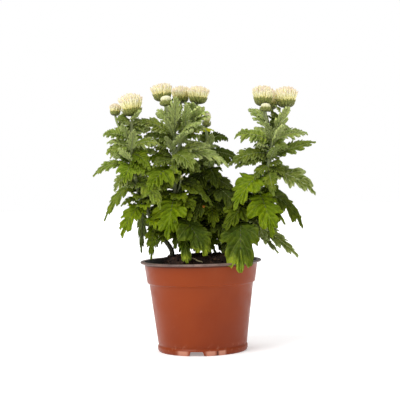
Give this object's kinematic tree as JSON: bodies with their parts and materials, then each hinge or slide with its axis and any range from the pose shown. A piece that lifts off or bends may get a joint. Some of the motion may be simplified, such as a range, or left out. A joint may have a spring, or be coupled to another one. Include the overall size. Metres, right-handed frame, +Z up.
{
  "type": "potted chrysanthemum",
  "caption": "Potted chrysanthemum: leafy stems with half-open cream blooms and buds, in soil in a terracotta-coloured plastic nursery pot.",
  "frame": {"origin": "bottom centre of the whole plant's bounding box, on the surface that the pot stands on; the pot's own axis is 9 mm to -X and 1.8 mm to -Y of it", "axes": "+Z up along the pot's axis, +X to the right and -Y towards the viewer of the picture"},
  "size_m": [0.2562, 0.1438, 0.3126],
  "materials": {
    "pot_plastic": "satin",
    "potting_soil": "matte",
    "foliage": "matte",
    "petals": "matte",
    "buds": "matte"
  },
  "bodies": {
    "root": {"pot": "pot_plastic", "soil": "potting_soil", "stem_left": "foliage", "stem_centre": "foliage", "stem_middle": "foliage", "stem_right": "foliage", "stem_back": "foliage", "bloom_left_large": "petals", "bloom_left_small": "petals", "bloom_centre_left": "petals", "bloom_centre_back": "petals", "bloom_centre_right": "petals", "bloom_right_left": "petals", "bloom_right_right": "petals", "bloom_right_back": "petals", "bud_centre": "buds", "bud_side": "buds", "bud_right": "buds", "bud_low": "buds"}
  },
  "joints": []
}
